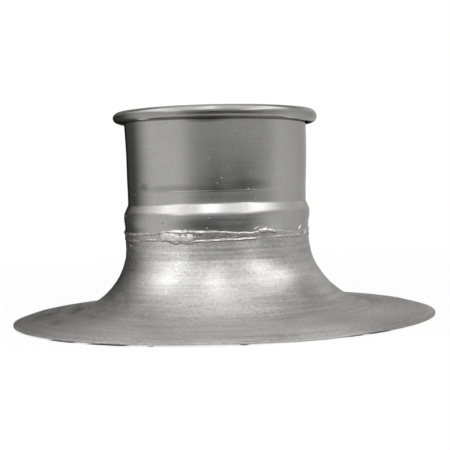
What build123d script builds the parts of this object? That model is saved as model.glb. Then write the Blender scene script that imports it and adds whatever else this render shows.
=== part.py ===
"""Bellmouth duct adapter: a spun bell with a wide brim, welded to a collar of duct size that ends in a rolled lip.

Millimetres, +Z up along the duct. The origin is at the middle of the brim, on the surface that it stands on.
The adapter is three pieces of steel: the bell, spun from one disc, the collar, rolled from one strip, and the
seam of weld metal that joins them end to end.
"""

from build123d import *
from math import cos, radians, sin, tan
import os

# Sheet that both formed pieces are made of
sheet = 1.0

# Bell, as outside sizes: a nearly flat brim, turned down a little further at its edge
brim_radius = 120.0
edge_width = 6.0
edge_slope = 17.0
edge_land = 0.8
brim_slope = 6.2

# Bell, from the brim up to its neck: three bends that meet in tangents
foot_bend = 34.0
flare_bend = 44.0
throat_bend = 33.0
flare_start_turn = 27.0
flare_end_turn = 52.0
neck_straight = 4.8

# Collar, as the outside radius of its narrowest stretch, and how far the rest of it stands out from there
waist_radius = 50.8
socket_rise = 1.6
bead_rise = 2.2
step_rise = 0.15
spout_rise = 1.0

# Joint, where the bell's neck and the collar's socket meet end to end
joint_radius = waist_radius + socket_rise
root_gap = 0.8

# Collar, as lengths one above the other, from the joint to the height of the lip's middle
socket_length = 5.5
swell_length = 3.6
crown_length = 3.4
shoulder_length = 5.0
waist_length = 6.5
step_length = 1.0
spout_length = 40.6

# Bends in the collar's wall
socket_bend = 5.0
crown_bend = 6.0
waist_bend = 3.0

# Rolled lip: its outside radius across the roll, and how far round the sheet is rolled
lip_roll = 3.7
lip_turn = 292.0

# Seam of weld metal
cap_width = 4.6
cap_height = 0.9
root_width = 2.4
root_height = 0.3

# Where the weld piled up in runs: each one's angle from the front (-Y), to the right of it when positive,
# its height above the joint, how long and how high it is on the wall, and how proud of it
weld_runs = [
    (-27.0, -0.7, 15.0, 6.6, 2.0),
    (-14.5, 0.3, 11.0, 4.6, 1.6),
    (-3.0, -0.3, 13.0, 3.6, 1.3),
    (28.0, 2.6, 9.0, 3.4, 1.3),
    (60.0, 0.6, 7.5, 4.4, 1.4),
]

# Drops of weld metal beside the runs: angle, height above the joint, width and how proud
weld_drops = [
    (-90.0, 1.4, 5.0, 1.5),
    (22.0, 2.2, 3.0, 1.1),
    (66.0, 2.4, 3.0, 1.1),
]


def section(outer_path):
    """Cross-section of the sheet: everything within its thickness to the left of the outer surface's path."""
    return make_face(offset(outer_path, amount=sheet, side=Side.LEFT).edges())


def turned(profile):
    """Solid of revolution about the duct's axis, from a profile drawn as radius and height."""
    return revolve(Plane.XZ * profile, axis=Axis.Z)


def bend_step(bend, first_turn, last_turn):
    """How far out and up a bend carries the wall between two angles, counted from the vertical."""
    out = bend * (cos(radians(first_turn)) - cos(radians(last_turn)))
    up = bend * (sin(radians(last_turn)) - sin(radians(first_turn)))
    return out, up


# Heights and radii that follow from the sizes above, from the edge of the brim upwards
brim_turn = 90.0 - brim_slope
edge_drop = edge_land * tan(radians(edge_slope))
edge_top = sheet / cos(radians(edge_slope)) - edge_drop
band_radius = brim_radius - edge_width
band_height = edge_top + edge_width * tan(radians(edge_slope))
throat_out, throat_up = bend_step(throat_bend, 0.0, flare_start_turn)
flare_out, flare_up = bend_step(flare_bend, flare_start_turn, flare_end_turn)
foot_out, foot_up = bend_step(foot_bend, flare_end_turn, brim_turn)
foot_radius = joint_radius + throat_out + flare_out + foot_out
foot_height = band_height + (band_radius - foot_radius) * tan(radians(brim_slope))
neck_height = foot_height + foot_up + flare_up + throat_up
joint_height = neck_height + neck_straight


def bell_path():
    """Outer surface of the bell, from below the brim's edge up to the joint."""
    overhang = 2.0 * sheet
    edge_end = (brim_radius + overhang, edge_top - overhang * tan(radians(edge_slope)))
    edge = Line(edge_end, (band_radius, band_height))
    brim = Line(edge @ 1, (foot_radius, foot_height))
    foot = JernArc(brim @ 1, brim % 1, foot_bend, -(brim_turn - flare_end_turn))
    flare = JernArc(foot @ 1, foot % 1, flare_bend, -(flare_end_turn - flare_start_turn))
    throat = JernArc(flare @ 1, flare % 1, throat_bend, -flare_start_turn)
    neck = Line(throat @ 1, (joint_radius, joint_height - root_gap / 2))
    return Wire([edge, brim, foot, flare, throat, neck])


def make_bell():
    """Spun bell: its section is trimmed to the brim's radius and to the flat that it stands on."""
    within = Rectangle(brim_radius, joint_height, align=(Align.MIN, Align.MIN))
    return turned(section(bell_path()) & within)


def collar_wall():
    """Outer surface of the collar, from the joint up to where the roll starts."""
    start = joint_height + root_gap / 2
    socket_top = joint_height + socket_length
    crown_bottom = socket_top + swell_length
    crown_top = crown_bottom + crown_length
    waist_bottom = crown_top + shoulder_length
    waist_top = waist_bottom + waist_length
    step_top = waist_top + step_length
    spout_top = step_top + spout_length
    bead = FilletPolyline(
        (joint_radius, start),
        (joint_radius, socket_top),
        (waist_radius + bead_rise, crown_bottom),
        (waist_radius + bead_rise, crown_top),
        (waist_radius, waist_bottom),
        (waist_radius, waist_top),
        radius=[socket_bend, crown_bend, crown_bend, waist_bend],
    )
    step = Line(bead @ 1, (waist_radius + step_rise, step_top))
    spout = Line(step @ 1, (waist_radius + spout_rise, spout_top))
    return Wire([*bead.edges(), step, spout])


def make_collar():
    """Rolled collar: socket, bead, waist, slightly widening spout and the lip rolled outwards at its end."""
    wall = collar_wall()
    roll = JernArc(wall @ 1, wall % 1, lip_roll - sheet, -lip_turn)
    return turned(section(wall) + section(roll))


def weld_cushion(radius, width, height):
    """Section of one face of the seam: a low cushion across the joint, half as wide at its crest as at the wall."""
    low, high = joint_height - width / 2, joint_height + width / 2
    crest_low, crest_high = joint_height - width / 4, joint_height + width / 4
    crest = radius + height
    return make_face(Polyline((radius, low), (crest, crest_low), (crest, crest_high), (radius, high), close=True))


def swell_radius(width, proud):
    """Radius of an arc of the given width that rises by the given height."""
    return (width**2 / 4 + proud**2) / (2 * proud)


def weld_run(angle, rise, length, height, proud):
    """Long swell of weld metal: a ring lying flat, sunk into the wall until the right length stands proud."""
    crest = 1 / (8 * proud / length**2 + 1 / joint_radius)
    across = swell_radius(height, proud)
    ring = Torus(crest - across, across)
    return Rot(0, 0, angle - 90) * Pos(joint_radius + proud - crest, 0, joint_height + rise) * ring


def weld_drop(angle, rise, width, proud):
    """Round drop of weld metal: a ball sunk into the wall in the same way."""
    ball = swell_radius(width, proud)
    return Rot(0, 0, angle - 90) * Pos(joint_radius + proud - ball, 0, joint_height + rise) * Sphere(ball)


def make_weld_seam():
    """Weld metal: it fills the root gap and stands proud inside and out, but takes no room from the sheets."""
    bore_radius = joint_radius - sheet
    root = Pos(bore_radius, joint_height) * Rectangle(sheet, root_gap, align=(Align.MIN, Align.CENTER))
    inside = weld_cushion(bore_radius, root_width, -root_height)
    cap = weld_cushion(joint_radius, cap_width, cap_height)
    through = Pos(0, joint_height) * Rectangle(joint_radius, cap_width, align=(Align.MIN, Align.CENTER))
    kept_clear = Pos(0, joint_height) * Rectangle(joint_radius, 4 * cap_width, align=(Align.MIN, Align.CENTER))
    seam = turned(cap + through)
    for run in weld_runs:
        seam += weld_run(*run)
    for drop in weld_drops:
        seam += weld_drop(*drop)
    return seam - turned(kept_clear - root - inside)


os.makedirs("parts", exist_ok=True)
collar = make_collar()
bell = make_bell()
weld_seam = make_weld_seam()
for name, piece in {"collar": collar, "bell": bell, "weld_seam": weld_seam}.items():
    export_step(piece, f"parts/{name}.step")
    size = piece.bounding_box().size
    print(name, "solids", len(piece.solids()), "size", round(size.X, 2), round(size.Y, 2), round(size.Z, 2))
print("joint at", round(joint_height, 2), "height over all", round(collar.bounding_box().max.Z, 2))
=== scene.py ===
# %% [markdown]
# # A bellmouth duct adapter in spun and rolled steel
#
# The object is a short steel collar with a rolled lip, welded to a bell that flares into a wide brim.
# Everything on it is sheet metal with a soft shine, so its look comes from three things: the true path of
# the sheet, the small unevenness that hand work leaves in it, and a studio whose light and dark parts the
# metal can reflect.
#
# The first cell loads the exact model that the rest is built on. Its nodes are the collar, the bell and the
# seam of weld metal.

# %% The frame
import bmesh
import bpy
from math import atan2, ceil, cos, dist, exp, hypot, pi, radians, sin, tan
from mathutils import Matrix, Vector, noise
from random import Random


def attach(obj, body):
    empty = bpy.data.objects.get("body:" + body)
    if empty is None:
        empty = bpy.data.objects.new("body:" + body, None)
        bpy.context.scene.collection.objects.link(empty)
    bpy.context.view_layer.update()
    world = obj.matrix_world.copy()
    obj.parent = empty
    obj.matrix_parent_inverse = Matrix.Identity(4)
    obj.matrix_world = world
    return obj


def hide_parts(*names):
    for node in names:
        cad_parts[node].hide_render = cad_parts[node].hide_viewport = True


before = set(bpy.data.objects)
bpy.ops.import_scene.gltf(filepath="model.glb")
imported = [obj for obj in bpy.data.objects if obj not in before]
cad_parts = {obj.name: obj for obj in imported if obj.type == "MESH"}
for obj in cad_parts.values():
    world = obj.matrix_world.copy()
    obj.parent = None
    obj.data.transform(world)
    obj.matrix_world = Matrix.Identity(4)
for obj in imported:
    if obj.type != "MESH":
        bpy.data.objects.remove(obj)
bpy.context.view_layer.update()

# %% [markdown]
# ## Walking along the sheet
#
# A spun or rolled piece has one cross-section all the way round, and that section is a strip of even
# thickness. The easiest way to describe it is to walk along its outer surface: so far straight on, then a
# bend of this radius through that angle. The walk gives points, and beside each one the direction in which
# the surface faces.
#
# A curve object with a screw modifier would also do. The walk is used because each bend keeps the real
# radius, and because every point remembers how far along the sheet it lies, which the marks of the tool
# need later.
#
# Sizes are in millimetres, as on a drawing, and become metres when a mesh is made.

# %% A walk of straight runs and bends
MM = 0.001
SHEET = 1.0
# A move gets a stop at least this often, in mm and in degrees of a bend, and at least this many stops
POINT_SPACING = 0.5
BEND_STEP = 5.0
FEWEST_STEPS = 4


class Stop:
    """A point of the outer surface: radius, height, which way it faces, and its distance along the sheet."""

    def __init__(self, radius, height, heading, along):
        self.radius, self.height, self.heading, self.along = radius, height, heading, along

    def facing(self):
        return sin(self.heading), -cos(self.heading)


def walk(start, heading, moves):
    """Stops along a path. A move is ("run", length), ("bend", radius, degrees) or ("corner", degrees)."""
    radius, height = start
    heading, along = radians(heading), 0.0
    stops = [Stop(radius, height, heading, along)]
    for kind, *sizes in moves:
        if kind == "corner":
            turn = radians(sizes[0])
            stops[-1].heading = heading + turn / 2
            heading += turn
            continue
        length = sizes[0] if kind == "run" else sizes[0] * radians(abs(sizes[1]))
        turn = 0.0 if kind == "run" else radians(sizes[1])
        steps = max(FEWEST_STEPS, ceil(length / POINT_SPACING), ceil(abs(turn) / radians(BEND_STEP)))
        half = turn / steps / 2
        chord = length / steps * (sin(half) / half if turn else 1.0)
        for _ in range(steps):
            radius += chord * cos(heading + half)
            height += chord * sin(heading + half)
            heading += 2 * half
            along += length / steps
            stops.append(Stop(radius, height, heading, along))
    return stops


quarter = walk((10.0, 0.0), 90.0, [("run", 5.0), ("bend", 4.0, -90.0)])
trial_end = (round(quarter[-1].radius, 3), round(quarter[-1].height, 3))
print("trial walk ends at radius and height", trial_end, "in", len(quarter), "stops")

# %% [markdown]
# ## The bell's section
#
# The bell was spun from a flat disc. Its brim slopes gently and turns down a little more in the last few
# millimetres, so that it stands on its cut edge. Three bends of different radius then carry the sheet up to
# the neck, each one starting in the direction in which the last one ended.
#
# The sizes are those of the exact model. Only the ones that can be set by themselves are written down, and
# the radius of the foot and the height of the joint follow from them.

# %% The bell's walk
BRIM_RADIUS = 120.0
EDGE_WIDTH = 6.0
EDGE_SLOPE = 17.0
EDGE_LAND = 0.8
BRIM_SLOPE = 6.2
FOOT_BEND = 34.0
FLARE_BEND = 44.0
THROAT_BEND = 33.0
FLARE_START_TURN = 27.0
FLARE_END_TURN = 52.0
NECK_STRAIGHT = 4.8
JOINT_RADIUS = 52.4
ROOT_GAP = 0.8


def bend_reach(bend, first_turn, last_turn):
    """How far outwards a bend carries the wall between two angles, counted from the vertical."""
    return bend * (cos(radians(first_turn)) - cos(radians(last_turn)))


def bell_walk():
    throat_and_flare = bend_reach(THROAT_BEND, 0, FLARE_START_TURN)
    throat_and_flare += bend_reach(FLARE_BEND, FLARE_START_TURN, FLARE_END_TURN)
    foot_radius = JOINT_RADIUS + throat_and_flare + bend_reach(FOOT_BEND, FLARE_END_TURN, 90 - BRIM_SLOPE)
    edge_top = SHEET / cos(radians(EDGE_SLOPE)) - EDGE_LAND * tan(radians(EDGE_SLOPE))
    moves = [
        ("run", EDGE_WIDTH / cos(radians(EDGE_SLOPE))),
        ("corner", EDGE_SLOPE - BRIM_SLOPE),
        ("run", (BRIM_RADIUS - EDGE_WIDTH - foot_radius) / cos(radians(BRIM_SLOPE))),
        ("bend", FOOT_BEND, -(90 - BRIM_SLOPE - FLARE_END_TURN)),
        ("bend", FLARE_BEND, -(FLARE_END_TURN - FLARE_START_TURN)),
        ("bend", THROAT_BEND, -FLARE_START_TURN),
        ("run", NECK_STRAIGHT - ROOT_GAP / 2),
    ]
    return walk((BRIM_RADIUS, edge_top), 180 - EDGE_SLOPE, moves)


bell_stops = bell_walk()
JOINT_HEIGHT = bell_stops[-1].height + ROOT_GAP / 2
print("bell:", len(bell_stops), "stops, joint at", round(JOINT_HEIGHT, 2), "mm")

# %% [markdown]
# ## The collar's section
#
# The collar starts as wide as the neck, swells into a rounded bead, narrows to the duct's own size and then
# widens by about a millimetre up to the lip, where the sheet is rolled outwards almost into a full circle.
#
# Its wall is easier to give as corners than as angles. Each corner is cut off by its bend, and the run
# before and after it gets shorter by the length of the tangent.

# %% The collar's walk
WAIST_RADIUS = 50.8
BEAD_RADIUS = WAIST_RADIUS + 2.2
STEP_RADIUS = WAIST_RADIUS + 0.15
SPOUT_RADIUS = WAIST_RADIUS + 1.0
LIP_ROLL = 3.7
LIP_TURN = 292.0

# Radius, how far up from the corner before, and the bend at the corner, from the joint upwards
COLLAR_CORNERS = [
    (JOINT_RADIUS, 5.5, 5.0),
    (BEAD_RADIUS, 3.6, 6.0),
    (BEAD_RADIUS, 3.4, 6.0),
    (WAIST_RADIUS, 5.0, 3.0),
    (WAIST_RADIUS, 6.5, 0.0),
    (STEP_RADIUS, 1.0, 0.0),
    (SPOUT_RADIUS, 40.6, 0.0),
]


def collar_walk():
    here = (JOINT_RADIUS, JOINT_HEIGHT)
    heading, moves, taken = 90.0, [], ROOT_GAP / 2
    legs = []
    for radius, rise, bend in COLLAR_CORNERS:
        there = (radius, here[1] + rise)
        legs.append((dist(here, there), atan2(rise, radius - here[0]) * 180 / pi, bend))
        here = there
    for (length, slope, bend), (_, next_slope, _) in zip(legs, legs[1:] + [legs[-1]]):
        turn = next_slope - slope
        tangent = bend * tan(radians(abs(turn)) / 2)
        moves.append(("run", length - taken - tangent))
        if bend and turn:
            moves.append(("bend", bend, turn))
        elif turn:
            moves.append(("corner", turn))
        taken = tangent
    moves.append(("bend", LIP_ROLL - SHEET, -LIP_TURN))
    return walk((JOINT_RADIUS, JOINT_HEIGHT + ROOT_GAP / 2), heading, moves)


collar_stops = collar_walk()
lip_stop = max(collar_stops, key=lambda stop: stop.height)
print("collar:", len(collar_stops), "stops, lip's top at", round(lip_stop.height + SHEET, 2), "mm")

# %% [markdown]
# ## Made by hand
#
# The real pieces aren't quite concentric. Seen from the front, the brim's edge sits almost two millimetres
# to the right, the neck one millimetre to the left, and the lip slopes down to the right by half a degree.
# It is hard to see by itself, and yet it is what makes the outline look like this object and not like a
# drawing.
#
# A lattice modifier could bend the finished pieces. A function that moves one point is plainer, and every
# piece, whatever its mesh, goes through the same one, so they still fit together.

# %% How far each height is off centre
# Height and shift to the right, in mm
OFF_CENTRE = [
    (0, 1.8), (6, 0.6), (12, 0.4), (20, 0.1), (35, -0.5), (47, -1.0), (70, -0.35), (95, 0.05), (116, -0.25),
]
# The lip's slope in degrees, reached over the height of the collar
LIP_SLOPE = 0.6
COLLAR_RISE = 69.0
# The brim's radius is short by this much at its edge, and by less and less inwards over the reach, in mm
BRIM_SHORTFALL = 1.0
SHORTFALL_START = 70.0
SHORTFALL_REACH = 50.0


def blend_through(points, place):
    """Smooth curve through (place, value) points, level at each of them."""
    if place <= points[0][0]:
        return points[0][1]
    for (p0, v0), (p1, v1) in zip(points, points[1:]):
        if place <= p1:
            t = (place - p0) / (p1 - p0)
            return v0 + (v1 - v0) * t * t * (3 - 2 * t)
    return points[-1][1]


def hand_made(x, y, z):
    """Moves a point, in mm, to where it lies on the real object."""
    radius = hypot(x, y)
    outwards = min(1.0, max(0.0, (radius - SHORTFALL_START) / SHORTFALL_REACH))
    shrink = 1 - BRIM_SHORTFALL * outwards / max(radius, 1.0)
    slope = tan(radians(LIP_SLOPE)) * max(0.0, z - JOINT_HEIGHT) / COLLAR_RISE
    return Vector((x * shrink + blend_through(OFF_CENTRE, z), y * shrink, z - x * slope))


print("brim's edge, right side:", [round(c, 2) for c in hand_made(BRIM_RADIUS, 0, 0)])

# %% [markdown]
# ## From a section to a sheet metal piece
#
# The outer stops and the same stops pushed in by the sheet's thickness make a closed loop, and the spin
# operator turns that loop about the duct's axis. The spin gives a closed shell with real thickness and real
# cut edges, where a single surface with a solidify modifier would have to guess them at the lip.
#
# Each vertex of the loop carries its distance along the sheet and the way it faces. The spin copies both,
# so after it every vertex can be pushed in or out by a small amount: the relief. Both faces of the sheet
# get the same push, as when real sheet is dented. The inner face is less dense, because only a glimpse of
# it is ever seen.

# %% Spinning a section and working its surface
SEGMENTS = 300
INNER_STRIDE = 3


def section_loop(stops, floor=None):
    """The sheet's closed section: (radius, height, stop) for the outer face, then for the inner one."""
    outer = [(stop.radius, stop.height, stop) for stop in stops]
    picked = sorted({*range(0, len(stops), INNER_STRIDE), len(stops) - 1})
    inner = []
    for stop in (stops[i] for i in picked):
        out, up = stop.facing()
        height = stop.height - SHEET * up
        inner.append((stop.radius - SHEET * out, height if floor is None else max(floor, height), stop))
    foot = [] if floor is None else [(stops[0].radius, floor, stops[0])]
    return outer + inner[::-1] + foot


def finished_piece(name, shape):
    """Turns a mesh drawn in mm into an object in metres, with the hand-made unevenness put in."""
    for vert in shape.verts:
        vert.co = hand_made(*vert.co) * MM
    bmesh.ops.recalc_face_normals(shape, faces=shape.faces)
    mesh = bpy.data.meshes.new(name)
    shape.to_mesh(mesh)
    shape.free()
    mesh.shade_smooth()
    piece = bpy.data.objects.new(name, mesh)
    bpy.context.scene.collection.objects.link(piece)
    print(name, "faces:", len(mesh.polygons))
    return piece


def spun_piece(name, loop, relief, segments=SEGMENTS):
    """Spins the loop about the duct's axis and pushes every vertex along its facing by its relief."""
    shape = bmesh.new()
    along = shape.verts.layers.float.new("along")
    facing_out = shape.verts.layers.float.new("facing_out")
    facing_up = shape.verts.layers.float.new("facing_up")
    proud = shape.verts.layers.float.new("proud")
    ring = []
    for radius, height, stop in loop:
        vert = shape.verts.new((0, -radius, height))
        vert[along] = stop.along
        vert[facing_out], vert[facing_up] = stop.facing()
        ring.append(vert)
    edges = [shape.edges.new(pair) for pair in zip(ring, ring[1:] + ring[:1])]
    bmesh.ops.spin(
        shape, geom=ring + edges, cent=(0, 0, 0), axis=(0, 0, 1), dvec=(0, 0, 0),
        angle=2 * pi, steps=segments, use_merge=True, use_duplicate=False,
    )
    for vert in shape.verts:
        x, y, z = vert.co
        radius, angle = hypot(x, y), atan2(x, -y)
        push = relief(angle, radius, z, vert[along])
        vert[proud] = push
        radius += push * vert[facing_out]
        vert.co = (radius * sin(angle), -radius * cos(angle), z + push * vert[facing_up])
    return finished_piece(name, shape)


def rumple(angle, place, turns, length, seed):
    """Smooth random number from -1 to 1 that varies round the piece and along the sheet, without a seam.

    It changes about as often as turns says round the piece, and over the length along it. Each seed gives
    another pattern.
    """
    return noise.noise(Vector((turns * cos(angle) + seed, turns * sin(angle) - seed, place / length)))


def uneven(layers, angle, place):
    """Sum of layers of unevenness, each given by (depth in mm, turns, length in mm, seed)."""
    return sum(depth * rumple(angle, place, turns, length, seed) for depth, turns, length, seed in layers)


def swell(value, middle, width):
    """1 at the middle, falling smoothly to 0 over the width."""
    return exp(-((value - middle) / width) ** 2)


print("one segment of the brim is", round(2 * pi * BRIM_RADIUS / SEGMENTS, 2), "mm wide")

# %% [markdown]
# ## The bell
#
# A spinner presses the disc over a form with a tool that moves slowly outwards, so the metal keeps fine
# rings with a few deeper ones, and a soft waviness where the sheet gave way. At the front some of the rings
# were sanded down, and right under the weld the neck bulges a little. On a shiny surface the slope matters
# more than the height: a few hundredths of a millimetre bend a reflection visibly, and a tenth looks like a
# dent.
#
# The brim doesn't touch the floor all the way round. Its edge lifts by up to nine tenths of a millimetre,
# which gives the broken dark line under it.

# %% Bell: its rings and how uneven it is
# Rings: distance along the sheet, depth, and what share of the depth is left at the sanded front
RING_PLACES = [
    (40.0, 0.04, 1.0), (61.3, 0.13, 0.15), (66.0, 0.05, 0.6),
    (74.0, 0.05, 1.0), (81.0, 0.06, 1.0), (86.3, 0.08, 1.0),
]
RING_WIDTH = 0.8
RING_WANDER = 0.6
# Middle and half width of the sanded front, in degrees
SANDED_FRONT = (-3, 26)
# Distance along the sheet, height and half width of the neck's bulge
NECK_BULGE = (85.5, 0.10, 3.4)
# Marks of the tool are weaker at the edge, where this share is left, and full from this distance along the
# sheet
TOOL_MARKS = [(0.014, 1.2, 0.8, 3.0), (0.028, 0.9, 2.3, 7.0), (0.05, 0.7, 7.0, 11.0)]
MARKS_AT_EDGE, MARKS_FULL = 0.35, 60.0
BELL_WAVES, WAVES_FULL = [(0.16, 2.2, 30.0, 19.0)], 15.0
# How far the brim's edge stands off the floor: angle from the front in degrees, lift in mm
EDGE_LIFTS = [
    (-180, 0.3), (-120, 0.05), (-75, 0.3), (-43, 0.6), (-28, 0.75), (-16, 0.8), (-5, 0.9), (8, 0.5),
    (18, 0.15), (26, 0.05), (33, 0.5), (39, 0.6), (46, 0.25), (90, 0.15), (180, 0.3),
]
LIFT_RIPPLE, LIFT_REACH = [(0.12, 9.0, 1.0, 23.0)], 30.0


def ring_depth(angle, along):
    """How deep the tool's rings are at a place."""
    front = swell(angle, radians(SANDED_FRONT[0]), radians(SANDED_FRONT[1]))
    rings = 0.0
    for place, depth, share in RING_PLACES:
        wander = RING_WANDER * rumple(angle, 0, 1.5, 1.0, place)
        rings += depth * (1 - (1 - share) * front) * swell(along, place + wander, RING_WIDTH)
    return rings


def bell_relief(angle, radius, height, along):
    worked = MARKS_AT_EDGE + (1 - MARKS_AT_EDGE) * min(1.0, along / MARKS_FULL)
    waves = uneven(BELL_WAVES, angle, along) * min(1.0, along / WAVES_FULL)
    lift = blend_through(EDGE_LIFTS, angle * 180 / pi) + uneven(LIFT_RIPPLE, angle, 0.0)
    lift *= max(0.0, 1 - along / LIFT_REACH) ** 2
    bulge = NECK_BULGE[1] * swell(along, NECK_BULGE[0], NECK_BULGE[2])
    return worked * uneven(TOOL_MARKS, angle, along) - ring_depth(angle, along) + waves + lift + bulge


print("rings:", len(RING_PLACES), "and the edge lifts by up to", max(lift for _, lift in EDGE_LIFTS), "mm")

# %% [markdown]
# The floor value of the loop gives the edge its level foot. The two lines after the spin come with each
# piece that stands for a node of the exact model: it rides on the root and replaces that node. Its finish
# is given further on.

# %% Bell: spun
bell = spun_piece("bell_spun", section_loop(bell_stops, floor=0.0), bell_relief)
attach(bell, "root")
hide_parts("bell")

# %% [markdown]
# ## The collar
#
# The collar is rolled from a strip, so it is smoother than the bell: long soft waves along the duct, hardly
# any rings, and at the back the line where the strip's two ends were joined and ground flush. The step
# below the spout was pressed in, less at the front than elsewhere, and the lip is rolled tighter on the
# left.

# %% Collar: soft waves, a ground lengthwise seam and a lip that isn't quite even
WALL_WAVES = [(0.04, 3.2, 60.0, 31.0), (0.006, 9.0, 45.0, 37.0)]
WALL_RINGS = [(0.002, 0.8, 1.6, 41.0), (0.008, 0.8, 8.0, 43.0)]
SEAM_ANGLE = radians(171.0)
SEAM_WIDTH = 1.6
SEAM_HEIGHT = 0.04
# The waist leans out a little, draws in at the step, and comes out again over about STEP_FADE above it
PRESSED_IN = [(64.5, 0.0), (66.0, -0.03), (71.4, 0.03), (71.95, -0.17)]
STEP_FADE = 4.2
# At the front the step is shallower: its middle and half width in degrees, and how much is missing
SHALLOW_STEP = (4.0, 18.0, 0.55)
# On the left the lip is rolled tighter than on the right, by this much at its free edge
TIGHTER_LIP = 1.5
LEFT_SIDE = (-95, 50)
LIP_LENGTH = (LIP_ROLL - SHEET) * radians(LIP_TURN)


def collar_relief(angle, radius, height, along):
    middle, half, missing = SHALLOW_STEP
    pressed = blend_through(PRESSED_IN, height) * exp(-max(0.0, height - PRESSED_IN[-1][0]) / STEP_FADE)
    pressed *= 1 - missing * swell(angle, radians(middle), radians(half))
    seam = SEAM_HEIGHT * swell((angle - SEAM_ANGLE) * WAIST_RADIUS, 0.0, SEAM_WIDTH)
    seam *= 0.6 + uneven([(0.4, 1.0, 2.5, 47.0)], angle, height)
    rolled = blend_through([(0.5, 0.0), (0.85, 1.0)], 1 + (along - collar_stops[-1].along) / LIP_LENGTH)
    tighter = TIGHTER_LIP * rolled * swell(angle, radians(LEFT_SIDE[0]), radians(LEFT_SIDE[1]))
    return uneven(WALL_WAVES, angle, height) + uneven(WALL_RINGS, angle, along) + pressed + seam + tighter


collar = spun_piece("collar_rolled", section_loop(collar_stops), collar_relief)
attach(collar, "root")
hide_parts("collar")

# %% [markdown]
# ## The weld seam
#
# The seam was laid by hand and partly ground back. What is left is a band with a thin ridge along each
# side, a hollow between them with pits in it, and places where the metal piled up: a long smeared run on
# the left of the front, a short bright one on the right, and small ones beyond it.
#
# Its section is a skin that lies just under the two sheets' surface, a tongue through the gap between them
# and a low bead inside the duct. The relief then raises the skin wherever there is weld metal. A displace
# modifier could do it too, but the runs have to be where they are on the real seam, so they are placed one
# by one.

# %% Weld: its section
WELD_SPACING = 0.17
WELD_SEGMENTS = 760
SKIN_DEPTH = 0.06
SKIN_THICKNESS = 0.2
SKIN_LOW, SKIN_HIGH = -4.4, 4.6
ROOT_BEAD = 0.3
ROOT_BEAD_WIDTH = 2.4


def weld_section():
    """The skin under the surface, the tongue through the gap and the bead inside, as one closed loop."""
    skin_face = JOINT_RADIUS - SKIN_DEPTH
    skin_back = skin_face - SKIN_THICKNESS
    bore = JOINT_RADIUS - SHEET
    steps = round((SKIN_HIGH - SKIN_LOW) / WELD_SPACING)
    places = [(skin_face, SKIN_LOW + (SKIN_HIGH - SKIN_LOW) * i / steps) for i in range(steps + 1)]
    places += [(skin_back, SKIN_HIGH), (skin_back, ROOT_GAP / 2), (bore, ROOT_GAP / 2)]
    places += [(bore - ROOT_BEAD * cos(pi * t / 8), t / 8 * ROOT_BEAD_WIDTH) for t in range(4, -5, -1)]
    places += [(bore, -ROOT_GAP / 2), (skin_back, -ROOT_GAP / 2), (skin_back, SKIN_LOW)]
    return [(radius, JOINT_HEIGHT + rise, Stop(radius, rise, pi / 2, rise)) for radius, rise in places]


print("weld section:", len(weld_section()), "points")

# %% [markdown]
# A ridge is a line that wanders round the seam, given by a few places it passes through. Its crest is
# sharp, and noise makes it thicker here and thinner there.

# %% Weld: its two ridges
# Angle from the front in degrees, height above the joint, how proud
UPPER_RIDGE = [
    (-180, 2.2, 0.4), (-150, 1.6, 0.3), (-120, 2.4, 0.45), (-90, 1.7, 0.4), (-60, 2.0, 0.55),
    (-41, 2.1, 0.85), (-33, 3.1, 0.9), (-24, 3.9, 1.05), (-14, 3.3, 1.05), (-5, 2.8, 1.05),
    (5, 2.5, 0.95), (8, 1.9, 0.55), (19, 1.5, 0.55), (28, 1.8, 0.5), (44, 0.9, 0.4), (57, 0.5, 0.35),
    (80, 1.2, 0.45), (110, 2.0, 0.35), (150, 1.4, 0.5), (180, 2.2, 0.4),
]
LOWER_RIDGE = [
    (-180, -1.4, 0.4), (-140, -2.0, 0.3), (-90, -1.5, 0.3), (-60, -1.3, 0.50), (-36, -1.1, 0.5),
    (-20, -2.4, 0.5), (-11, -2.0, 0.9), (5, -1.8, 1.05), (19, -1.6, 0.9), (25, -1.5, 0.25),
    (44, -1.2, 0.50), (57, -1.5, 0.45), (90, -1.8, 0.4), (130, -1.2, 0.35), (180, -1.4, 0.4),
]
RIDGE_WIDTH = 0.72
RIDGE_WANDER = 0.22
# A power below 1 makes the crest fuller. It reaches the first share of its height, give or take the second
CREST_POWER = 0.8
CREST_VARIES = (0.85, 0.7)
# Each ridge's own numbers for the noise, for where it runs and for how proud it is
UPPER_SEEDS, LOWER_SEEDS = (2.4, 1.7), (-1.5, -1.3)


def ridge_rise(points, angle):
    return blend_through([(place, rise) for place, rise, _ in points], angle * 180 / pi)


def ridge(angle, rise, points, seeds):
    """Height of a ridge with a sharp crest at a place on the wall."""
    middle = ridge_rise(points, angle) + RIDGE_WANDER * rumple(angle, 0.0, 14.0, 1.0, seeds[0])
    proud = blend_through([(place, height) for place, _, height in points], angle * 180 / pi)
    proud *= CREST_VARIES[0] + CREST_VARIES[1] * rumple(angle, 3.0, 26.0, 1.0, seeds[1])
    return max(0.0, proud) * max(0.0, 1 - abs(rise - middle) / RIDGE_WIDTH) ** CREST_POWER


print("upper ridge at the front:", round(ridge_rise(UPPER_RIDGE, 0.0), 2), "mm above the joint")

# %% [markdown]
# A lump is an oval patch of metal with a ragged edge, and a pit is a small round one that is taken away.
# Where ridges and lumps meet, the higher one counts, and the shallow band between the ridges is added to
# both.

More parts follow.
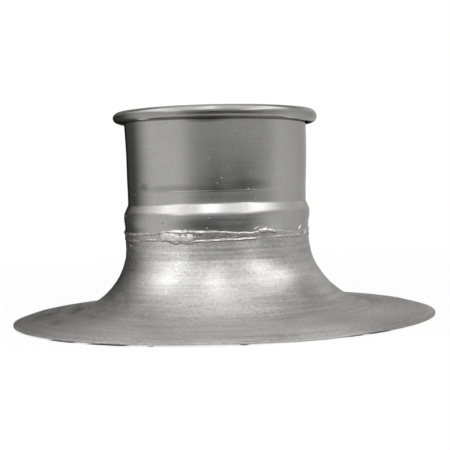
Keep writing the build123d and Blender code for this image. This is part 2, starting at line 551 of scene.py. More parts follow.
# %% Weld: its lumps and pits
# Lumps: angle from the front in degrees, height above the joint, half length, half height, how proud, slant
WELD_LUMPS = [
    (-32.0, 0.5, 4.2, 2.6, 0.70, 0.10),
    (-25.0, 0.1, 6.2, 3.5, 0.90, -0.06),
    (-17.5, -0.7, 5.6, 2.9, 0.75, -0.10),
    (-23.0, 3.1, 6.6, 1.1, 1.15, -0.05),
    (-9.5, 2.8, 6.8, 1.0, 1.00, -0.03),
    (24.0, 3.9, 2.4, 0.8, 0.45, 0.45),
    (28.5, 2.7, 3.4, 1.5, 1.35, 0.10),
    (33.5, 2.3, 4.6, 1.1, 1.10, -0.16),
    (42.0, 1.6, 4.6, 0.6, 0.60, -0.10),
    (57.0, 6.6, 1.6, 0.5, 0.40, 0.80),
    (60.0, 2.6, 2.2, 0.9, 0.70, 0.70),
    (57.5, -1.2, 1.4, 0.8, 0.70, 0.00),
    (68.0, 0.2, 2.4, 1.1, 0.80, 0.60),
    (-91.0, 2.2, 2.4, 1.3, 1.30, 0.00),
]
# Pits: angle from the front in degrees, height above the joint, radius, depth
WELD_PITS = [
    (-21.5, 1.2, 0.7, 0.8), (-18.0, 1.1, 0.6, 0.7), (-13.5, 1.0, 0.6, 0.6), (-9.5, 1.0, 0.9, 0.6),
    (-25.5, 0.2, 0.5, 0.4),
]
BAND_HEIGHT = 0.16
RAGGED_EDGE = 0.22
LUMP_POWER = 0.6
# Noise above the first value makes scattered pits, as deep as the second value times what is above it
PITS_FROM, PITS_DEPTH = 0.25, 0.5


def round_patch(angle, rise, place):
    """1 in the middle of an oval patch, 0 at its edge and outside it. Its edge is ragged."""
    patch_angle, patch_rise, half_length, half_height, slant = place
    across = (angle - radians(patch_angle)) * JOINT_RADIUS
    up = rise - patch_rise - slant * across
    ragged = RAGGED_EDGE * rumple(angle, rise, 28.0, 1.4, 83.0)
    return max(0.0, 1 + ragged - (across / half_length) ** 2 - (up / half_height) ** 2)


def weld_metal_height(angle, rise):
    """How far the weld metal stands out, before its pits are taken off."""
    ridges = ridge(angle, rise, UPPER_RIDGE, UPPER_SEEDS) + ridge(angle, rise, LOWER_RIDGE, LOWER_SEEDS)
    patches = ((proud, round_patch(angle, rise, (*place, slant))) for *place, proud, slant in WELD_LUMPS)
    lumps = max(proud * patch ** LUMP_POWER for proud, patch in patches)
    upper, lower = ridge_rise(UPPER_RIDGE, angle), ridge_rise(LOWER_RIDGE, angle)
    middle, half = (upper + lower) / 2, (upper - lower) / 2
    band = BAND_HEIGHT * max(0.0, 1 - abs((rise - middle) / half) ** 4)
    return max(ridges, lumps) + band


def pit_depth(angle, rise):
    scattered = PITS_DEPTH * max(0.0, rumple(angle, rise, 34.0, 0.9, 79.0) - PITS_FROM)
    spots = [(depth, (spot, up, size, size, 0.0)) for spot, up, size, depth in WELD_PITS]
    return scattered + sum(depth * min(1.0, round_patch(angle, rise, place)) for depth, place in spots)


print("lumps:", len(WELD_LUMPS), "pits:", len(WELD_PITS))

# %% [markdown]
# The skin's outer face takes the weld's relief, the bead inside the duct a slight unevenness, and the
# tongue none. Where there is no metal the skin sinks a little below the sheet, so it doesn't show.

# %% Weld: spun
ROUGHNESS = [(0.14, 42.0, 1.1, 71.0), (0.06, 90.0, 0.6, 73.0)]
BEAD_UNEVEN = [(0.12, 40.0, 3.0, 53.0)]
# How far the skin sinks where there is no metal, and how high metal is at least to have its full roughness
DEEPEST = -0.02
FULLY_ROUGH = 0.35
# A point that lies inside the bore by more than this belongs to the bead
CLEAR_OF_BORE = 0.02


def weld_relief(angle, radius, height, along):
    if radius < JOINT_RADIUS - SHEET - CLEAR_OF_BORE:
        return uneven(BEAD_UNEVEN, angle, height)
    if radius < JOINT_RADIUS - SKIN_DEPTH - SKIN_THICKNESS / 2:
        return 0.0
    metal = weld_metal_height(angle, along)
    rough = uneven(ROUGHNESS, angle, along)
    return max(DEEPEST, metal + min(1.0, metal / FULLY_ROUGH) * (rough - pit_depth(angle, along)))


weld = spun_piece("weld_bead", weld_section(), weld_relief, WELD_SEGMENTS)
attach(weld, "root")
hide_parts("weld_seam")

# %% [markdown]
# ## Spatter
#
# Welding throws small drops of metal that freeze where they land. The ones that show on the front are put
# where they are seen, and a scatter with a fixed seed goes on round the rest. Each is a low icosphere,
# pressed flat against the wall, and all of them are one mesh.

# %% Drops of spatter on the wall
# Angle from the front in degrees, height in mm, width in mm
SEEN_DROPS = [
    (-4.0, 88.8, 0.55), (7.3, 83.2, 0.6), (2.9, 78.1, 0.9), (0.5, 75.5, 0.7), (-12.8, 72.4, 0.6),
    (19.1, 71.9, 1.1), (20.0, 79.8, 0.5), (-56.0, 76.1, 0.7), (23.6, 66.5, 0.8), (-1.6, 66.6, 0.6),
    (-33.3, 55.8, 1.5), (-4.2, 57.3, 0.8), (-5.6, 52.1, 0.9), (-66.1, 42.5, 1.4), (57.1, 54.1, 1.0),
    (-21.0, 53.4, 0.6), (12.0, 54.0, 0.6), (-64.0, 36.0, 0.8),
]
SEEN_FLATNESS = 0.5
SCATTERED_DROPS = 70
SCATTER_SEED = 8
# Scattered drops lie round the rest of the seam: how far they spread from the joint, and between which
# heights
SCATTER_HEIGHT = 14.0
LOWEST_DROP, HIGHEST_DROP = 12.0, 95.0
# Between which angles they lie, in degrees, how wide they are, in mm, and how flat
SCATTER_ROUND, SCATTER_WIDTH, SCATTER_FLATNESS = (75.0, 300.0), (0.35, 0.9), (0.35, 0.6)
# The roll of the lip takes up the collar's last stops, and no drop lands there
LIP_STOPS = 60


def wall_stop(height):
    """The stop of the outer wall that is nearest to a height."""
    stops = bell_stops if height < JOINT_HEIGHT else collar_stops[:-LIP_STOPS]
    return min(stops, key=lambda stop: abs(stop.height - height))


def add_drop(shape, angle, height, width, flatness):
    stop = wall_stop(height)
    out, up = stop.facing()
    place = Matrix.Rotation(angle, 4, "Z") @ Matrix.Translation((0, -stop.radius, height))
    lean = Matrix.Rotation(atan2(up, out), 4, "X")
    size = Matrix.Diagonal((width / 2, width / 2 * flatness, width / 2, 1))
    bmesh.ops.create_icosphere(shape, subdivisions=2, radius=1.0, matrix=place @ lean.inverted() @ size)


def make_spatter():
    shape = bmesh.new()
    draw = Random(SCATTER_SEED)
    for angle, height, width in SEEN_DROPS:
        add_drop(shape, radians(angle), height, width, SEEN_FLATNESS)
    for _ in range(SCATTERED_DROPS):
        height = JOINT_HEIGHT + draw.gauss(0.0, SCATTER_HEIGHT)
        angle = draw.uniform(radians(SCATTER_ROUND[0]), radians(SCATTER_ROUND[1]))
        height = max(LOWEST_DROP, min(height, HIGHEST_DROP))
        add_drop(shape, angle, height, draw.uniform(*SCATTER_WIDTH), draw.uniform(*SCATTER_FLATNESS))
    print("spatter drops:", len(SEEN_DROPS) + SCATTERED_DROPS)
    return finished_piece("weld_spatter", shape)


spatter = make_spatter()
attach(spatter, "root")

# %% [markdown]
# ## Steel that was worked in rings
#
# All three finishes are bare steel, so their nodes share one pattern: noise that is stretched round the
# duct. The direction from the axis, as a unit vector, tells where round the duct a point is, and height
# less radius tells how far along the sheet it is. Together they make coordinates in which plain noise
# becomes fine rings with no seam. The same rings drive the colour a little, the roughness more, and a faint
# bump.
#
# The shine is anisotropic: grooves that run round the duct spread a reflection up and down and keep it
# sharp sideways. The tangent node gives the direction round the axis, and the rotation of a quarter turn
# puts the long way of the highlight across the grooves.

# %% Helpers for node trees
def new_material(name):
    material = bpy.data.materials.new(name)
    material.use_nodes = True
    material.node_tree.nodes.clear()
    return material, material.node_tree


def put(tree, kind, sockets=None, **settings):
    """Adds a node. A socket is given by its name or number, and takes a value or another node's output."""
    node = tree.nodes.new("ShaderNode" + kind)
    for key, value in settings.items():
        setattr(node, key, value)
    for key, value in (sockets or {}).items():
        if isinstance(value, bpy.types.NodeSocket):
            tree.links.new(value, node.inputs[key])
        else:
            node.inputs[key].default_value = value
    return node


def math_node(tree, operation, a, b):
    return put(tree, "Math", {0: a, 1: b}, operation=operation).outputs[0]


def plus(tree, first, *others):
    """Sum of all the values, added from left to right."""
    for other in others:
        first = math_node(tree, "ADD", first, other)
    return first


def times(tree, a, b):
    return math_node(tree, "MULTIPLY", a, b)


def between(tree, value, low, high, to_low, to_high):
    """Maps a value from one range to another, clamped."""
    sockets = {"Value": value, "From Min": low, "From Max": high, "To Min": to_low, "To Max": to_high}
    return put(tree, "MapRange", sockets).outputs[0]


def give_or_take(tree, pattern, amount, low=0.3, high=0.7):
    """Turns noise into a change of up to the amount, either way."""
    return between(tree, pattern, low, high, -amount, amount)


def ring_coordinates(tree, turns, lines):
    """Coordinates that vary slowly round the duct and quickly along the sheet, in cells per metre."""
    where = put(tree, "TexCoord").outputs["Object"]
    parts = put(tree, "SeparateXYZ", {0: where})
    flat = put(tree, "CombineXYZ", {"X": parts.outputs["X"], "Y": parts.outputs["Y"]}).outputs[0]
    radius = put(tree, "VectorMath", {0: flat}, operation="LENGTH").outputs["Value"]
    round_duct = put(tree, "VectorMath", {0: flat}, operation="NORMALIZE").outputs[0]
    spread = put(tree, "VectorMath", {0: round_duct, "Scale": turns}, operation="SCALE").outputs[0]
    along = math_node(tree, "SUBTRACT", parts.outputs["Z"], radius)
    lines_up = put(tree, "CombineXYZ", {"Z": times(tree, along, lines)}).outputs[0]
    return put(tree, "VectorMath", {0: spread, 1: lines_up}, operation="ADD").outputs[0]


def noise_at(tree, vector, scale, detail=3.0, roughness=0.6):
    sockets = {"Vector": vector, "Scale": scale, "Detail": detail, "Roughness": roughness}
    return put(tree, "TexNoise", sockets).outputs["Fac"]


print("helpers ready")

# %% [markdown]
# ## What the steel's pattern is made of
#
# Nine noises make the pattern. The rings are fine and coarse lines round the duct, clouds are wide and
# faint, grain is the finest, and pebbles are short dashes, as a worn sanding belt leaves them. Flecks are
# bright, dirt is dark, scratches are long and run with the rings, and blotches are drawn out from front to
# back, as by a dirty cloth.

# %% Noises of the steel
# The share of each direction that is left in the coordinates of the blotches
WIPED = (1.0, 0.2, 1.0)


def steel_patterns(tree, where):
    """Every noise that colour, roughness and bump are made of, by name."""
    wiped = put(tree, "VectorMath", {0: where, 1: WIPED}, operation="MULTIPLY").outputs[0]
    scratches = noise_at(tree, ring_coordinates(tree, 2.2, 420.0), 1.0, 2.0, 0.5)
    return {
        "fine": noise_at(tree, ring_coordinates(tree, 3.0, 1500.0), 1.0, 4.0, 0.7),
        "coarse": noise_at(tree, ring_coordinates(tree, 1.5, 260.0), 1.0, 3.0, 0.55),
        "clouds": noise_at(tree, where, 28.0, 4.0, 0.6),
        "grain": noise_at(tree, where, 1400.0, 2.0, 0.6),
        "pebble": noise_at(tree, ring_coordinates(tree, 50.0, 1000.0), 1.0, 3.0, 0.6),
        "flecks": between(tree, noise_at(tree, where, 620.0, 2.0, 0.5), 0.60, 0.72, 0.0, 1.0),
        "dirt": between(tree, noise_at(tree, where, 420.0, 3.0, 0.7), 0.58, 0.70, 0.0, 1.0),
        "scratches": between(tree, scratches, 0.54, 0.64, 0.0, 1.0),
        "blotches": noise_at(tree, wiped, 300.0, 4.0, 0.7),
    }


print("nine noises ready")

# %% [markdown]
# ## Where the steel is different
#
# Stains and even patches are soft balls of space, given by their middle and size, so each stays on the
# piece from every side. A stain is mottled and makes the steel duller. On the collar every patch is painted
# shade, or painted highlight where its strength is below 0. On the bell some patches are painted shade and
# highlight, some are smears of dirt, and some only make a place darker. Besides, the lip is a little darker,
# a band of each sheet is rougher where it was sanded or rubbed, and weld metal that stands proud is
# brighter. How proud it stands is kept at each vertex since the relief was made.

# %% Masks
# The lip is darker: where the change starts and ends, in mm, and what share of the tone is left
LIP_DARKENING = (109.5, 112.5, 0.74)
# A ball is full within this share of its size, and fades out to its edge
FULL_SHARE = 0.35
# Weld metal is bright from the first height to the second, in mm
PROUD_RANGE = (0.35, 0.95)


def soft_ball_mask(tree, stains):
    """0 outside all the balls, up to each one's strength inside it, below 0 where a highlight is painted on.
    """
    where = put(tree, "TexCoord").outputs["Object"]
    balls = []
    for middle, halves, strength in stains:
        middle, halves = (tuple(c * MM for c in place) for place in (middle, halves))
        apart = put(tree, "VectorMath", {0: where, 1: middle}, operation="SUBTRACT").outputs[0]
        share = put(tree, "VectorMath", {0: apart, 1: halves}, operation="DIVIDE").outputs[0]
        away = put(tree, "VectorMath", {0: share}, operation="LENGTH").outputs["Value"]
        balls.append(between(tree, away, FULL_SHARE, 1.0, strength, 0.0))
    return plus(tree, *balls) if balls else 0.0


def steel_masks(tree, where, finish):
    """Where the steel has stain marks, painted shade or highlight, a dull band, the lip or proud weld metal,
    by name.
    """
    height = put(tree, "SeparateXYZ", {0: where}).outputs["Z"]
    full_from, full_to, fade = (value * MM for value in finish["band_heights"])
    rising = between(tree, height, full_from - fade, full_from, 0.0, 1.0)
    falling = between(tree, height, full_to, full_to + fade, 1.0, 0.0)
    stands_out = put(tree, "Attribute", attribute_name="proud").outputs["Fac"]
    return {
        "stain": soft_ball_mask(tree, finish["stains"]),
        # Painted shade, and painted highlight below 0, with a few smears of dirt on the bell
        "shade": soft_ball_mask(tree, finish["shades"]),
        "band": times(tree, rising, falling),
        "lip": between(tree, height, LIP_DARKENING[0] * MM, LIP_DARKENING[1] * MM, 1.0, LIP_DARKENING[2]),
        "proud": between(tree, stands_out, *PROUD_RANGE, 0.0, finish["proud_metal"]),
    }


print("five masks ready")

# %% [markdown]
# ## The steel itself
#
# The tone is a sum: the steel's lightness, and a few hundredths more or less for each noise. Then the masks
# take their share of it. A stain's mottle is cut off at a fixed depth, or its darkest spots would turn
# black. The roughness follows the same noises and masks, and the bump is less than a twentieth of a
# millimetre high.

# %% Worked steel
STEEL_TINT = (1.0, 0.992, 0.98)
EDGE_TINT = (0.62, 0.61, 0.60, 1.0)
DEEPEST_STAIN = 1.15
BUMP_STRENGTH, BUMP_HEIGHT = 0.35, 0.00004


def steel_tone(tree, finish, noises, masks):
    """How light the steel is, with its pattern, stain marks, painted shade and highlights, and bright weld
    metal.
    """
    rings, speckle = finish["rings"], finish["speckle"]
    tone = plus(
        tree, finish["lightness"], give_or_take(tree, noises["fine"], 0.05 * rings),
        give_or_take(tree, noises["coarse"], 0.05 * rings), give_or_take(tree, noises["clouds"], 0.02),
        give_or_take(tree, noises["pebble"], 0.07 * finish["pebbles"]),
        times(tree, noises["flecks"], 0.10 * speckle),
    )
    tone = math_node(tree, "SUBTRACT", tone, times(tree, noises["dirt"], 0.12 * speckle))
    mottled = plus(
        tree, between(tree, noises["blotches"], 0.40, 0.60, 1.4, 0.2),
        give_or_take(tree, noises["pebble"], 0.4, 0.4, 0.6), times(tree, noises["scratches"], 0.9),
    )
    mottled = math_node(tree, "MINIMUM", mottled, DEEPEST_STAIN)
    # The even patches add painted shade, or painted highlight where they are below 0, and on the bell some
    # dirt
    stain_and_painted_light = plus(tree, times(tree, masks["stain"], mottled), masks["shade"])
    tone = times(tree, tone, math_node(tree, "SUBTRACT", 1.0, stain_and_painted_light))
    tone = times(tree, tone, masks["lip"])
    tone = times(tree, tone, between(tree, masks["band"], 0.0, 1.0, 1.0, finish["band_tone"]))
    return plus(tree, tone, times(tree, masks["proud"], 0.22))


def steel_roughness(tree, finish, noises, masks):
    return plus(
        tree, finish["roughness"], give_or_take(tree, noises["fine"], 0.05),
        give_or_take(tree, noises["clouds"], 0.03), times(tree, masks["stain"], 0.12),
        times(tree, masks["proud"], 0.16), times(tree, masks["band"], finish["band_rough"]),
    )


def steel_bump(tree, finish, noises):
    height = plus(
        tree, times(tree, noises["fine"], finish["rings"]), times(tree, noises["grain"], 0.25),
        times(tree, noises["flecks"], 0.6 * finish["speckle"]),
        times(tree, noises["pebble"], 1.6 * finish["pebbles"]),
    )
    bump = put(tree, "Bump", {"Height": height, "Strength": BUMP_STRENGTH, "Distance": BUMP_HEIGHT})
    return bump.outputs[0]


def worked_steel(name, **finish):
    """Bare steel with rings round the duct. Rings, speckle and pebbles are strengths, from 0 to about 1."""
    material, tree = new_material(name)
    where = put(tree, "TexCoord").outputs["Object"]
    noises, masks = steel_patterns(tree, where), steel_masks(tree, where, finish)
    tone = steel_tone(tree, finish, noises, masks)
    colour = put(tree, "CombineColor", {i: times(tree, tone, share) for i, share in enumerate(STEEL_TINT)})
    tangent = put(tree, "Tangent", direction_type="RADIAL", axis="Z").outputs[0]
    shader = put(tree, "BsdfPrincipled", {
        "Base Color": colour.outputs[0], "Metallic": 1.0, "Specular Tint": EDGE_TINT,
        "Roughness": steel_roughness(tree, finish, noises, masks),
        "Anisotropic": finish["anisotropy"], "Anisotropic Rotation": 0.25,
        "Tangent": tangent, "Normal": steel_bump(tree, finish, noises),
    })
    put(tree, "OutputMaterial", {"Surface": shader.outputs[0]})
    print(name, "nodes:", len(tree.nodes))
    return material


# %% [markdown]
# ## The three finishes
#
# The collar is smooth and shines most, and its bead's crest is a little rubbed. The bell has strong rings,
# and its brim and foot were sanded, so they are rougher. The weld metal has no rings: it is pale where it
# stands proud and grey in its hollows.

# %% Collar, bell and weld metal
# Places: middle in mm, half sizes in mm, strength. A strength below 0 paints a highlight
BELL_STAINS = [((-98, 36, 4), (56, 74, 24), 0.44), ((-60, -34, 14), (24, 26, 20), 0.25)]
BELL_DIRT_AND_PAINTED_LIGHT = [
    # Painted highlights: on the neck's left, and carrying the middle highlight down the flare
    ((-26, -48, 37), (22, 20, 17), -0.42), ((-3, -78, 12), (40, 30, 13), -0.26),
    # Painted shade on the bell's left side low down; a place on the left of the brim made a little darker
    ((-44, -54, 14), (28, 26, 12), 0.18), ((-80, -55, 4), (36, 34, 12), 0.08),
    # A place on the right of the brim made a little darker; painted shade above the right highlight
    ((66, -80, 4), (40, 30, 10), 0.10), ((28, -45, 37), (16, 20, 6), 0.16),
    # A place on the right of the bell made darker; a smear of dirt on the left of the brim
    ((42, -55, 15), (30, 26, 15), 0.28), ((-82, -6, 7), (5, 26, 8), 0.26),
    # Smears of dirt on the left of the brim
    ((-88, -46, 5), (4, 14, 6), 0.20), ((-101, -10, 4), (10, 24, 6), 0.20),
    # Painted highlight on the neck just under the weld; painted shade on the brim's steeper edge at the right
    ((4, -53, 43.6), (34, 12, 3.4), -0.50), ((88, -72, 1.0), (46, 46, 3.0), 0.20),
    # Painted highlight: the right highlight's slanted streak on the flare
    ((22, -49, 31.5), (12, 10, 5), -0.22), ((37, -44, 26.5), (12, 12, 5), -0.34),
]
COLLAR_PAINTED_LIGHT = [
    # Painted shade in the corner under the lip, and on the lower edge of the lip's highlight
    ((-4, -54, 109.5), (16, 10, 2.5), 0.62), ((2, -58, 113.5), (26, 12, 1.4), 0.24),
    # Painted shade just above the step
    ((-40, -33, 74.5), (4, 7, 3), 0.30), ((-24, -46, 73.4), (26, 22, 2.6), 0.26),
    # Painted shade just above the step, and on the bead's lower flank left of the middle
    ((18, -49, 74.5), (15, 12, 4), 0.30), ((-14, -51, 53), (16, 12, 7), 0.26),
    # Painted highlight on the bead's lower flank right of the middle
    ((25, -46, 53), (13, 13, 8), -0.42),
]

# The rougher band is given by the heights between which it is full and the height over which it fades, in mm,
# then by the roughness it adds and the share of the tone that it keeps
collar_steel = worked_steel(
    "collar_steel", lightness=0.42, roughness=0.15, rings=0.15, speckle=0.35, pebbles=0.1, anisotropy=0.2,
    stains=[], shades=COLLAR_PAINTED_LIGHT, proud_metal=0.0,
    band_heights=(55, 63, 3), band_rough=0.08, band_tone=1.0,
)
bell_steel = worked_steel(
    "bell_steel", lightness=0.42, roughness=0.34, rings=1.1, speckle=0.9, pebbles=1.0, anisotropy=0.6,
    stains=BELL_STAINS, shades=BELL_DIRT_AND_PAINTED_LIGHT, proud_metal=0.0,
    band_heights=(-1, 9, 12), band_rough=0.18, band_tone=0.98,
)
weld_metal = worked_steel(
    "weld_metal", lightness=0.44, roughness=0.28, rings=0.2, speckle=1.0, pebbles=0.0, anisotropy=0.0,
    stains=[], shades=[], proud_metal=1.0,
    band_heights=(-9, -8, 1), band_rough=0.0, band_tone=1.0,
)
finishes = ((collar, collar_steel), (bell, bell_steel), (weld, weld_metal), (spatter, weld_metal))
for piece, material in finishes:
    piece.data.materials.append(material)
    print(piece.name, "is made of", material.name)

# %% [markdown]
# ## The studio
#
# The object stands on a pale floor in front of nothing, so the background is white to the camera. The floor
# is lit as any floor is, so it takes the object's soft shadow, and is mixed with plain white so that it
# fades into the background. Right under the brim there is less white in the mix, and in a few places along
# its edge none, so the gap between brim and floor shows as broken dark dashes. All of it depends on the
# place on the floor alone.

# %% Floor and background
FLOOR_SIZE = 6.0
FLOOR_COLOUR = (0.9, 0.9, 0.9, 1)
WHITE = (1, 1, 1, 1)
AMBIENT = 0.6
# Inside the first radius there is no white, and from the second all but the shadow's share. That last part
# comes in between the third radius and the fourth. They are in metres
SHADOW_KEPT = 0.3
UNDER_BRIM, BRIM_EDGE, SHADOW_START, SHADOW_END = 0.106, 0.112, 0.125, 0.6
# Where the gap under the brim shows dark: angle from the front in degrees, half length in mm, and the
# core's share
GAP_CORE = 0.7
DARK_GAPS = [(-42.5, 11.0), (-28.0, 13.0), (-16.5, 1.8), (5.0, 2.5), (24.0, 3.5), (32.0, 8.0), (40.5, 10.0)]
GAP_RADIUS = 0.117


def stage_object(name, shape):
    """Turns a mesh drawn in metres into an object that belongs to the stage, not to the part."""
    mesh = bpy.data.meshes.new(name)
    shape.to_mesh(mesh)
    shape.free()
    thing = bpy.data.objects.new(name, mesh)
    bpy.context.scene.collection.objects.link(thing)
    return thing


def seen_directly(tree):
    """1 for the camera, reflections and refractions, 0 for the light that reaches a surface."""
    rays = put(tree, "LightPath").outputs
    seen = math_node(tree, "MAXIMUM", rays["Is Camera Ray"], rays["Is Glossy Ray"])
    return math_node(tree, "MAXIMUM", seen, rays["Is Transmission Ray"])


def white_share(tree):
    """How much plain white is mixed into the floor at each place."""
    where = put(tree, "TexCoord").outputs["Object"]
    away = put(tree, "VectorMath", {0: where}, operation="LENGTH").outputs["Value"]
    near = between(tree, away, UNDER_BRIM, BRIM_EDGE, 0.0, 1 - SHADOW_KEPT)
    for angle, half_length in DARK_GAPS:
        middle = (GAP_RADIUS * sin(radians(angle)), -GAP_RADIUS * cos(radians(angle)), 0.0)
        apart = put(tree, "VectorMath", {0: where, 1: middle}, operation="DISTANCE").outputs["Value"]
        reach = half_length * MM
        near = times(tree, near, between(tree, apart, reach * GAP_CORE, reach, 0.0, 1.0))
    return plus(tree, near, between(tree, away, SHADOW_START, SHADOW_END, 0.0, SHADOW_KEPT))


def make_floor():
    shape = bmesh.new()
    bmesh.ops.create_grid(shape, x_segments=1, y_segments=1, size=FLOOR_SIZE / 2)
    floor = stage_object("floor", shape)
    material, tree = new_material("pale_floor")
    share = times(tree, seen_directly(tree), white_share(tree))
    lit = put(tree, "BsdfDiffuse", {"Color": FLOOR_COLOUR}).outputs[0]
    plain = put(tree, "Emission", {"Color": WHITE, "Strength": 1.0}).outputs[0]
    mixed = put(tree, "MixShader", {0: share, 1: lit, 2: plain}).outputs[0]
    put(tree, "OutputMaterial", {"Surface": mixed})
    floor.data.materials.append(material)


def make_world():
    world = bpy.data.worlds.new("studio")
    bpy.context.scene.world = world
    world.use_nodes = True
    tree = world.node_tree
    tree.nodes.clear()
    strength = between(tree, seen_directly(tree), 0.0, 1.0, AMBIENT, 1.0)
    light = put(tree, "Background", {"Color": WHITE, "Strength": strength}).outputs[0]
    put(tree, "OutputWorld", {"Surface": light})


make_floor()
make_world()
print("floor and background made")

# %% [markdown]
# ## A light tent
#
# Shiny things are photographed in a tent: white cloth all round, lit from outside, brightest overhead.
# White all round would make the metal look flat, so the photographer hangs grey and black cloths in it, and
# their soft reflections draw the dark bands down the collar. Here the tent is one spun shell, and each of
# its points glows as much as the cloths there let through. It is seen only in reflections, and it is part
# of the stage.
#
# A cloth's place is given by a direction round the object, counted from the front to the right, and by a
# height above the horizon. A point of the collar that faces some way round reflects twice that angle, so
# the narrow dark cloth in front shows as a band down the middle, and the black ones behind on the left as
# the dark edge of the left side. Seven lamps shine through the cloth. The bell's neck and the bead turn
# upwards, so they catch the lamps as soft bright streaks, and the straight wall of the collar doesn't.

# %% The tent and its cloths
TENT_CENTRE = 60.0
TENT_RADIUS = 2000.0
# The tent's floor starts outside the brim, and its rings lie just above the real floor
TENT_FLOOR_RINGS = (150, 180, 220, 280, 370, 500, 700, 1000, 1400, 2000)
TENT_FLOOR_HEIGHT = 1
# How many steps the tent has round the object, and how many degrees there are from ring to ring of its dome
TENT_SEGMENTS = 120
DOME_STEP = 3
WHITE_CLOTH = 0.86

# Round: middle, half width, softness. Up: middle, half height, softness. All in degrees. Then how much it
# glows
CLOTHS = [
    ("grey, back on the right", (112, 16, 20), (-8, 18, 8), 0.76),
    ("bright, back", (180, 38, 24), (30, 14, 10), 1.10),
    ("ceiling", (-8, 84, 34), (64, 31, 11), 1.60),
    ("ceiling, back", (180, 60, 40), (75, 12, 14), 1.15),
    ("lamp, left and low", (-48, 4, 12), (22, 4, 8), 1.9),
    ("lamp, left", (-68, 3, 17), (37, 5, 9), 2.4),
    ("lamp, left and high", (-90, 5, 18), (50, 6, 9), 2.4),
    ("lamp, middle", (-9, 3, 20), (63, 25, 13), 2.8),
    ("lamp, right and low", (40, 4, 12), (22, 4, 8), 2.2),
    ("lamp, right", (58, 4, 19), (37, 5, 9), 2.6),
    ("lamp, right and high", (90, 6, 22), (50, 6, 10), 2.7),
    ("grey, front", (20, 38, 36), (-8, 17, 9), 0.54),
    ("dark, floor", (9, 18, 40), (-18, 15.5, 3.5), 0.19),
    ("narrow and dark", (-2, 4, 7), (-5, 4.3, 0.8), 0.10),
    ("black, left", (-145, 15, 46), (-2, 16, 14), 0.11),
    ("black, far left", (-172, 18, 7), (-4, 18, 10), 0.02),
    ("grey, left and high", (-142, 9, 16), (35, 14, 12), 0.40),
    ("grey, right and high", (142, 10, 18), (47, 9, 12), 0.55),
]


def spread(value, middle, half, softness):
    """1 within half of the middle, fading to 0 over the softness."""
    t = min(1.0, max(0.0, (half + softness - abs(value - middle)) / softness))
    return t * t * (3 - 2 * t)


def tent_glow(azimuth, elevation):
    """How bright the tent is in a direction. Each cloth covers the ones before it."""
    glow = WHITE_CLOTH
    for _, (middle, half, softness), upwards, tone in CLOTHS:
        apart = (azimuth - middle + 180) % 360 - 180
        glow += (tone - glow) * spread(apart, 0, half, softness) * spread(elevation, *upwards)
    return glow


ahead, above = (round(tent_glow(0.0, elevation), 2) for elevation in (0.0, 70.0))
print("straight ahead the tent glows", ahead, "and overhead", above)

# %% [markdown]
# The tent is spun from its section like the sheets, and its points on the axis are merged into one. The
# glow is kept at each vertex, so it depends on the direction alone, and the material only reads it.

# %% The tent as a spun shell
def tent_shell():
    shape = bmesh.new()
    section = [(radius, TENT_FLOOR_HEIGHT) for radius in TENT_FLOOR_RINGS]
    for lift in range(0, 90, DOME_STEP):
        section.append((TENT_RADIUS * cos(radians(lift)), TENT_CENTRE + TENT_RADIUS * sin(radians(lift))))
    section.append((0, TENT_CENTRE + TENT_RADIUS))
    verts = [shape.verts.new((0, -radius, height)) for radius, height in section]
    edges = [shape.edges.new(pair) for pair in zip(verts, verts[1:])]
    bmesh.ops.spin(
        shape, geom=verts + edges, cent=(0, 0, 0), axis=(0, 0, 1), dvec=(0, 0, 0),
        angle=2 * pi, steps=TENT_SEGMENTS, use_merge=True, use_duplicate=False,
    )
    bmesh.ops.remove_doubles(shape, verts=shape.verts, dist=0.01)
    return shape


def make_tent():
    shape = tent_shell()
    glow = shape.verts.layers.float.new("glow")
    for vert in shape.verts:
        x, y, z = vert.co
        vert[glow] = tent_glow(atan2(x, -y) * 180 / pi, atan2(z - TENT_CENTRE, hypot(x, y)) * 180 / pi)
    bmesh.ops.scale(shape, verts=shape.verts, vec=(MM, MM, MM))
    tent = stage_object("tent", shape)
    material, tree = new_material("tent_cloth")
    strength = put(tree, "Attribute", attribute_name="glow").outputs["Fac"]
    light = put(tree, "Emission", {"Color": WHITE, "Strength": strength}).outputs[0]
    put(tree, "OutputMaterial", {"Surface": light})
    tent.data.materials.append(material)
    for kind in ("camera", "diffuse", "transmission", "volume_scatter", "shadow"):
        setattr(tent, "visible_" + kind, False)
    print("tent faces:", len(tent.data.polygons), "cloths:", len(CLOTHS))


make_tent()

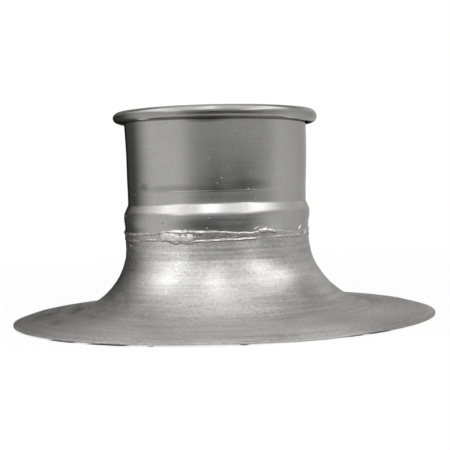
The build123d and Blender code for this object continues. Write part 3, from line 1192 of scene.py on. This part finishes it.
# %% [markdown]
# ## A lamp for the floor
#
# The tent only shows in the metal. What lights the floor is one wide lamp overhead and a little in front,
# and the even light of the white world. The lamp's power is worked out from how bright its face should be,
# where 1 is as bright as the white background.

# %% Soft lamp
TARGET = Vector((0, 0, 40.0 * MM))


def soft_box(name, azimuth, elevation, away, width, height, brightness):
    """Rectangular lamp that faces the object, at a direction round it and above the horizon."""
    light = bpy.data.lights.new(name, "AREA")
    light.shape = "RECTANGLE"
    light.size, light.size_y = width, height
    light.energy = brightness * pi * width * height
    lamp = bpy.data.objects.new(name, light)
    a, e = radians(azimuth), radians(elevation)
    lamp.location = TARGET + away * Vector((sin(a) * cos(e), -cos(a) * cos(e), sin(e)))
    lamp.rotation_mode = "QUATERNION"
    lamp.rotation_quaternion = (TARGET - lamp.location).to_track_quat("-Z", "Y")
    lamp.visible_glossy = False
    bpy.context.scene.collection.objects.link(lamp)
    return lamp


overhead = soft_box("overhead", azimuth=0.0, elevation=70.0, away=1.5, width=1.6, height=1.2, brightness=2.6)
print("lamp at", [round(c, 2) for c in overhead.location])

# %% [markdown]
# ## The camera
#
# The picture was taken from a little over half a metre, about level with the middle of the collar, with the
# camera turned slightly. These values come from fitting the outline of the exact model to the outline in
# the picture.

# %% Camera
CAMERA_PLACE = (0.0, -0.58938, 0.07174)
CAMERA_YAW = -0.367
CAMERA_PITCH = 1.948
CAMERA_ROLL = -1.851
CAMERA_LENS = 82.19

camera_data = bpy.data.cameras.new("camera")
camera_data.lens = CAMERA_LENS
camera_data.clip_start, camera_data.clip_end = 0.01, 50.0
camera = bpy.data.objects.new("camera", camera_data)
bpy.context.scene.collection.objects.link(camera)
turn = Matrix.Rotation(radians(CAMERA_YAW), 4, "Z") @ Matrix.Rotation(radians(90 - CAMERA_PITCH), 4, "X")
camera.matrix_world = Matrix.Translation(CAMERA_PLACE) @ turn @ Matrix.Rotation(radians(CAMERA_ROLL), 4, "Z")
bpy.context.scene.camera = camera
bpy.context.scene.view_settings.view_transform = "Standard"
print("camera at", [round(c, 3) for c in camera.location])
